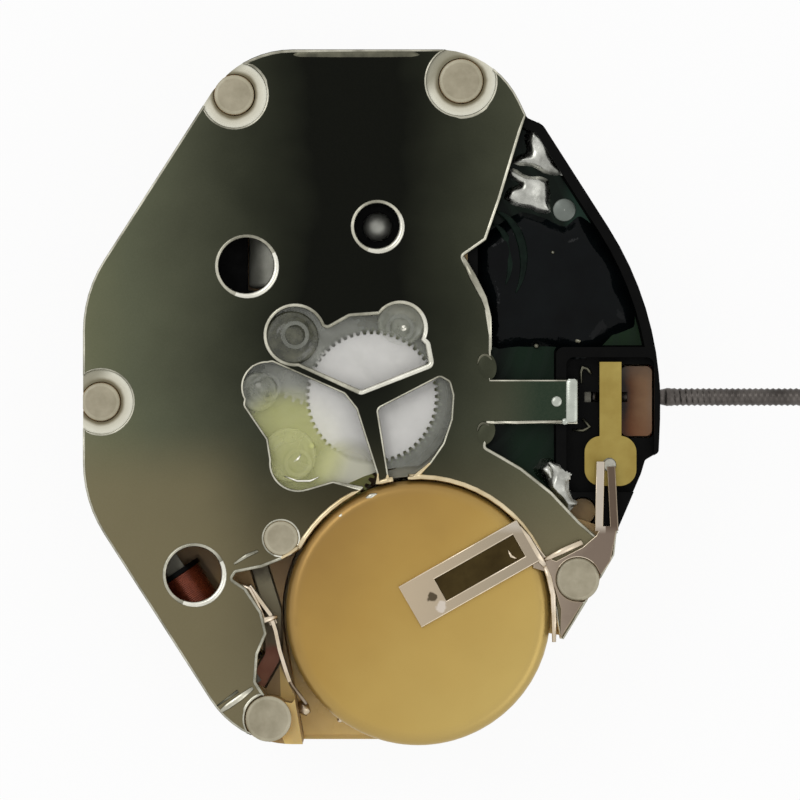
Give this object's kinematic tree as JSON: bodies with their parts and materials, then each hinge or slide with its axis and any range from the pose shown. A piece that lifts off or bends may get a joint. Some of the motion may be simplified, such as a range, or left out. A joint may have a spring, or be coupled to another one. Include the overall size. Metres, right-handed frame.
{
  "type": "quartz watch movement",
  "caption": "Small analogue quartz watch movement: dark steel back plate with clear train windows, golden button battery under a strap, and a long setting stem.",
  "frame": {"origin": "on the axis of the hands, in the seat that the dial lies against", "axes": "+Z towards the battery and the back plate, +X along the setting stem towards the crown, +Y towards the edge away from the battery"},
  "size_m": [0.0248, 0.0178, 0.0051],
  "materials": {
    "amber_plastic": "translucent amber moulding",
    "black_plastic": "moulded black plastic",
    "board_green": "dark green solder mask",
    "gloss_black": "glossy black potting",
    "solder": "uneven bright solder",
    "grey_can": "dull drawn can",
    "dull_steel": "dull sheet iron",
    "copper_wire": "red-brown enamelled wire",
    "white_plastic": "white moulded plastic",
    "bright_steel": "bright plain steel",
    "magnet_grey": "sintered dark grey",
    "lime_plastic": "yellow-green moulded plastic",
    "brass": "rolled brass",
    "clear_plastic": "milky clear moulding",
    "plate_steel": "dark burnished stamped steel",
    "battery_gold": "golden nickel plate with fine turning marks",
    "gasket_green": "moulded sealing ring",
    "amber_film": "thin amber film",
    "nickel": "soft nickel sheet",
    "stem_steel": "dark threaded steel"
  },
  "bodies": {
    "movement": {"main_plate": "amber_plastic", "circuit_block": "black_plastic", "circuit_board": "board_green", "ic_chip": "gloss_black", "solder_pads": "solder", "quartz_crystal": "grey_can", "crystal_leads": "solder", "stator": "dull_steel", "coil_core": "dull_steel", "coil_winding": "copper_wire", "coil_flanges": "black_plastic", "train_bridge": "clear_plastic", "back_plate": "plate_steel", "battery_insulator": "amber_film", "negative_contact": "bright_steel", "side_contact": "bright_steel", "contact_strap": "nickel", "lever_post": "bright_steel", "plate_stud": "bright_steel", "dial_cover": "bright_steel", "cover_screws": "bright_steel"},
    "seconds_train": {"seconds_wheel": "white_plastic", "seconds_arbor": "bright_steel"},
    "fifth_train": {"fifth_wheel": "white_plastic"},
    "rotor": {"rotor_magnet": "magnet_grey", "rotor_pinion": "white_plastic"},
    "third_train": {"third_wheel": "lime_plastic"},
    "minute_train": {"centre_wheel": "lime_plastic", "cannon_pinion": "brass"},
    "minute_work": {"minute_wheel": "white_plastic"},
    "hour_train": {"hour_wheel": "brass"},
    "setting_work": {"setting_wheel": "brass"},
    "yoke_slide": {"yoke": "dull_steel"},
    "clutch_slide": {"clutch": "bright_steel"},
    "crown_stem": {"stem": "stem_steel"},
    "lever": {"setting_lever": "brass"},
    "battery": {"battery_can": "battery_gold", "battery_gasket": "gasket_green", "battery_cap": "bright_steel"}
  },
  "joints": [
    {"name": "seconds_turn", "type": "hinge", "parent": "movement", "child": "seconds_train", "pos_m": [0, 0, 0.002], "axis": [0, 0, 1], "continuous": true},
    {"name": "fifth_turn", "type": "hinge", "parent": "movement", "child": "fifth_train", "pos_m": [-0.00153, 0.00121, 0.002], "axis": [0, 0, 1], "continuous": true},
    {"name": "rotor_turn", "type": "hinge", "parent": "movement", "child": "rotor", "pos_m": [-0.00292, 0.00031, 0.002], "axis": [0, 0, 1], "continuous": true},
    {"name": "third_turn", "type": "hinge", "parent": "movement", "child": "third_train", "pos_m": [-0.00155, -0.00125, 0.0018], "axis": [0, 0, 1], "continuous": true},
    {"name": "minute_turn", "type": "hinge", "parent": "movement", "child": "minute_train", "pos_m": [0, 0, 0.0015], "axis": [0, 0, 1], "continuous": true},
    {"name": "minute_work_turn", "type": "hinge", "parent": "movement", "child": "minute_work", "pos_m": [0.00169, -0.00062, 0.0005], "axis": [0, 0, 1], "continuous": true},
    {"name": "hour_turn", "type": "hinge", "parent": "movement", "child": "hour_train", "pos_m": [0, 0, 0.00027], "axis": [0, 0, 1], "continuous": true},
    {"name": "setting_turn", "type": "hinge", "parent": "movement", "child": "setting_work", "pos_m": [0.00364, -0.00006, 0.00075], "axis": [0, 0, 1], "continuous": true},
    {"name": "yoke_travel", "type": "slide", "parent": "movement", "child": "yoke_slide", "axis": [-1, 0, 0], "range_m": [0, 0.00025]},
    {"name": "crown_turn", "type": "hinge", "parent": "yoke_slide", "child": "clutch_slide", "pos_m": [0.00515, 0, 0.00155], "axis": [1, 0, 0], "continuous": true},
    {"name": "crown_pull", "type": "slide", "parent": "clutch_slide", "child": "crown_stem", "axis": [1, 0, 0], "range_m": [0, 0.00075]},
    {"name": "lever_turn", "type": "hinge", "parent": "movement", "child": "lever", "pos_m": [0.00609, -0.00174, 0.00245], "axis": [0, 0, -1], "range_deg": [0, 17]},
    {"name": "battery_out", "type": "slide", "parent": "movement", "child": "battery", "axis": [0.1736, -0.9848, 0], "range_m": [0, 0.0075]}
  ],
  "couplings": [
    {"joint": "fifth_turn", "follows": "seconds_turn", "ratio": -6},
    {"joint": "rotor_turn", "follows": "seconds_turn", "ratio": 30},
    {"joint": "third_turn", "follows": "seconds_turn", "ratio": -0.13333},
    {"joint": "minute_turn", "follows": "seconds_turn", "ratio": 0.016667},
    {"joint": "minute_work_turn", "follows": "seconds_turn", "ratio": -0.0055556},
    {"joint": "hour_turn", "follows": "seconds_turn", "ratio": 0.0013889},
    {"joint": "setting_turn", "follows": "seconds_turn", "ratio": 0.011111},
    {"joint": "yoke_travel", "follows": "crown_pull", "ratio": 0.33333},
    {"joint": "lever_turn", "follows": "crown_pull", "rad_per_m": 384}
  ]
}
